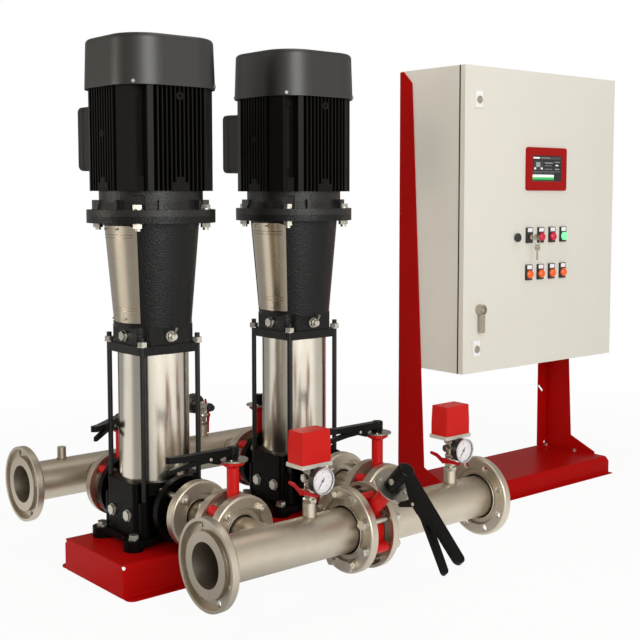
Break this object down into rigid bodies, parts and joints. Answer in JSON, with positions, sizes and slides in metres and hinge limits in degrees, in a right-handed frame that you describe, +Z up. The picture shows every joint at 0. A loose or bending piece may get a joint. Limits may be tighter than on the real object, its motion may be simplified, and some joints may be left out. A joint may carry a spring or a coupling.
{
  "type": "fire pump set",
  "caption": "Fire pump set: vertical multistage pumps on a red plinth, flanged steel manifolds with lever butterfly valves, gauges and pressure switches, and a control cabinet on a stand.",
  "frame": {"origin": "centre of the footprint on the floor", "axes": "+X along the manifolds toward the control cabinet, -Y the discharge side and cabinet front, +Z up"},
  "size_m": [2.0734, 1.4276, 1.455],
  "materials": {
    "red_sheet": "gloss powder coat",
    "cabinet_paint": "textured powder coat",
    "zinc": "zinc plated",
    "red_plastic": "smooth moulded",
    "nickel": "nickel plated",
    "black_plastic": "moulded",
    "lamp_orange": "moulded lens",
    "bolt_steel": "zinc plated",
    "black_cast": "painted casting, slightly rough",
    "stainless": "rolled and polished sheet",
    "bare_steel": "machined",
    "guard_steel": "brushed sheet",
    "black_motor": "satin paint over cast ribs",
    "fan_grey": "satin paint",
    "pipe_steel": "bead blasted and pickled",
    "red_casting": "gloss epoxy coat over casting",
    "rubber_black": "moulded",
    "black_paint": "satin paint",
    "red_handle": "dipped coat",
    "gauge_black": "moulded case",
    "grey_plastic": "moulded"
  },
  "bodies": {
    "base": {"plinth": "red_sheet", "stand_base": "red_sheet", "uprights": "red_sheet", "cabinet_body": "cabinet_paint", "mounting_plate": "zinc", "small_screws": "bolt_steel", "pump_bases": "black_cast", "outer_sleeves": "stainless", "chamber_stacks": "bare_steel", "pump_heads": "black_cast", "stay_bolts": "bolt_steel", "coupling_guards": "guard_steel", "motor_frames": "black_motor", "motor_shields": "black_motor", "fan_covers": "fan_grey", "terminal_boxes": "black_motor", "pump_bolts": "bolt_steel", "pump_plugs": "bolt_steel", "suction_manifold": "pipe_steel", "discharge_manifold": "pipe_steel", "spools": "pipe_steel", "loose_flanges": "pipe_steel", "flange_bolts": "bolt_steel", "check_bodies": "black_cast", "valve_bodies": "red_casting", "valve_liners": "rubber_black", "ratchet_plates": "bolt_steel", "gauge_fittings": "nickel", "gauge_cases": "gauge_black", "switch_bases": "grey_plastic", "switch_covers": "red_plastic"},
    "rotor_1": {"rotor_1": "bare_steel"},
    "rotor_2": {"rotor_2": "bare_steel"},
    "door": {"cabinet_door": "cabinet_paint", "hmi_panel": "red_plastic", "lamp_holders": "black_plastic", "lamp_lenses": "lamp_orange"},
    "handle": {"door_handle": "nickel"},
    "upper_lock": {"lock_upper": "nickel"},
    "lower_lock": {"lock_lower": "nickel"},
    "button": {"push_button": "black_plastic"},
    "selector": {"key_switch": "nickel"},
    "lever_1": {"lever_1": "black_paint"},
    "trigger_1": {"trigger_1": "black_paint"},
    "lever_2": {"lever_2": "black_paint"},
    "trigger_2": {"trigger_2": "black_paint"},
    "lever_3": {"lever_3": "black_paint"},
    "trigger_3": {"trigger_3": "black_paint"},
    "lever_4": {"lever_4": "black_paint"},
    "trigger_4": {"trigger_4": "black_paint"},
    "lever_5": {"lever_5": "black_paint"},
    "trigger_5": {"trigger_5": "black_paint"},
    "check_disc_1": {"check_disc_1": "bare_steel"},
    "check_disc_2": {"check_disc_2": "bare_steel"},
    "cock_handle_1": {"iso_handle_1": "red_handle"},
    "needle_1": {"needle_1": "black_paint"},
    "cock_handle_2": {"iso_handle_2": "red_handle"},
    "needle_2": {"needle_2": "black_paint"},
    "cock_handle_3": {"iso_handle_3": "red_handle"},
    "needle_3": {"needle_3": "black_paint"}
  },
  "joints": [
    {"name": "rotor_spin_1", "type": "hinge", "parent": "base", "child": "rotor_1", "pos_m": [-0.81675, 0.22279, 0.7], "axis": [0, 0, 1], "continuous": true},
    {"name": "rotor_spin_2", "type": "hinge", "parent": "base", "child": "rotor_2", "pos_m": [-0.31675, 0.22279, 0.7], "axis": [0, 0, 1], "continuous": true},
    {"name": "door_hinge", "type": "hinge", "parent": "base", "child": "door", "pos_m": [1.02725, 0.03879, 0.954], "axis": [0, 0, 1], "range_deg": [0, 120]},
    {"name": "handle_turn", "type": "hinge", "parent": "door", "child": "handle", "pos_m": [0.30925, 0.03179, 0.662], "axis": [0, 1, 0], "range_deg": [0, 90]},
    {"name": "upper_lock_turn", "type": "hinge", "parent": "door", "child": "upper_lock", "pos_m": [0.29925, 0.03179, 1.346], "axis": [0, 1, 0], "range_deg": [0, 90]},
    {"name": "lower_lock_turn", "type": "hinge", "parent": "door", "child": "lower_lock", "pos_m": [0.29925, 0.03179, 0.532], "axis": [0, 1, 0], "range_deg": [0, 90]},
    {"name": "button_press", "type": "slide", "parent": "door", "child": "button", "axis": [0, 1, 0], "range_m": [0, 0.004], "stiffness_N_per_m": 600, "springref_m": -0.004},
    {"name": "selector_turn", "type": "hinge", "parent": "door", "child": "selector", "pos_m": [0.55625, 0.03179, 0.895], "axis": [0, 1, 0], "range_deg": [0, 90]},
    {"name": "lever_turn_1", "type": "hinge", "parent": "base", "child": "lever_1", "pos_m": [-0.81675, -0.15221, 0.193], "axis": [0, 0, 1], "range_deg": [0, 90]},
    {"name": "trigger_squeeze_1", "type": "hinge", "parent": "lever_1", "child": "trigger_1", "pos_m": [-0.89175, -0.15221, 0.383], "axis": [0, 1, 0], "range_deg": [0, 10], "stiffness_Nm_per_rad": 0.6, "springref_deg": -20.05},
    {"name": "lever_turn_2", "type": "hinge", "parent": "base", "child": "lever_2", "pos_m": [-0.31675, -0.15221, 0.193], "axis": [0, 0, 1], "range_deg": [0, 90]},
    {"name": "trigger_squeeze_2", "type": "hinge", "parent": "lever_2", "child": "trigger_2", "pos_m": [-0.39175, -0.15221, 0.383], "axis": [0, 1, 0], "range_deg": [0, 10], "stiffness_Nm_per_rad": 0.6, "springref_deg": -20.05},
    {"name": "lever_turn_3", "type": "hinge", "parent": "base", "child": "lever_3", "pos_m": [-0.81675, 0.40579, 0.193], "axis": [0, 0, -1], "range_deg": [0, 90]},
    {"name": "trigger_squeeze_3", "type": "hinge", "parent": "lever_3", "child": "trigger_3", "pos_m": [-0.87585, 0.35961, 0.383], "axis": [-0.6157, 0.788, 0], "range_deg": [0, 10], "stiffness_Nm_per_rad": 0.6, "springref_deg": -20.05},
    {"name": "lever_turn_4", "type": "hinge", "parent": "base", "child": "lever_4", "pos_m": [-0.31675, 0.40579, 0.193], "axis": [0, 0, 1], "range_deg": [0, 90]},
    {"name": "trigger_squeeze_4", "type": "hinge", "parent": "lever_4", "child": "trigger_4", "pos_m": [-0.24175, 0.40579, 0.383], "axis": [0, -1, 0], "range_deg": [0, 10], "stiffness_Nm_per_rad": 0.6, "springref_deg": -20.05},
    {"name": "lever_turn_5", "type": "hinge", "parent": "base", "child": "lever_5", "pos_m": [-0.57075, -0.34821, 0.193], "axis": [0, -0.7071, 0.7071], "range_deg": [0, 90]},
    {"name": "trigger_squeeze_5", "type": "hinge", "parent": "lever_5", "child": "trigger_5", "pos_m": [-0.57075, -0.56671, 0.30119], "axis": [-1, 0, 0], "range_deg": [0, 10], "stiffness_Nm_per_rad": 1.5, "springref_deg": -20.05},
    {"name": "check_open_1", "type": "slide", "parent": "base", "child": "check_disc_1", "axis": [0, -1, 0], "range_m": [0, 0.012], "stiffness_N_per_m": 400, "springref_m": -0.005},
    {"name": "check_open_2", "type": "slide", "parent": "base", "child": "check_disc_2", "axis": [0, -1, 0], "range_m": [0, 0.012], "stiffness_N_per_m": 400, "springref_m": -0.005},
    {"name": "cock_turn_1", "type": "hinge", "parent": "base", "child": "cock_handle_1", "pos_m": [-0.72675, -0.34821, 0.314], "axis": [1, 0, 0], "range_deg": [0, 90]},
    {"name": "needle_turn_1", "type": "hinge", "parent": "base", "child": "needle_1", "pos_m": [-0.72675, -0.34821, 0.348], "axis": [0, 1, 0], "range_deg": [0, 250], "stiffness_Nm_per_rad": 0.004},
    {"name": "cock_turn_2", "type": "hinge", "parent": "base", "child": "cock_handle_2", "pos_m": [-0.22675, -0.34821, 0.314], "axis": [1, 0, 0], "range_deg": [0, 90]},
    {"name": "needle_turn_2", "type": "hinge", "parent": "base", "child": "needle_2", "pos_m": [-0.22675, -0.34821, 0.348], "axis": [0, 1, 0], "range_deg": [0, 250], "stiffness_Nm_per_rad": 0.004},
    {"name": "cock_turn_3", "type": "hinge", "parent": "base", "child": "cock_handle_3", "pos_m": [-0.40075, 0.60379, 0.314], "axis": [-1, 0, 0], "range_deg": [-90, 0]},
    {"name": "needle_turn_3", "type": "hinge", "parent": "base", "child": "needle_3", "pos_m": [-0.40075, 0.60379, 0.348], "axis": [0, -1, 0], "range_deg": [0, 250], "stiffness_Nm_per_rad": 0.004}
  ]
}
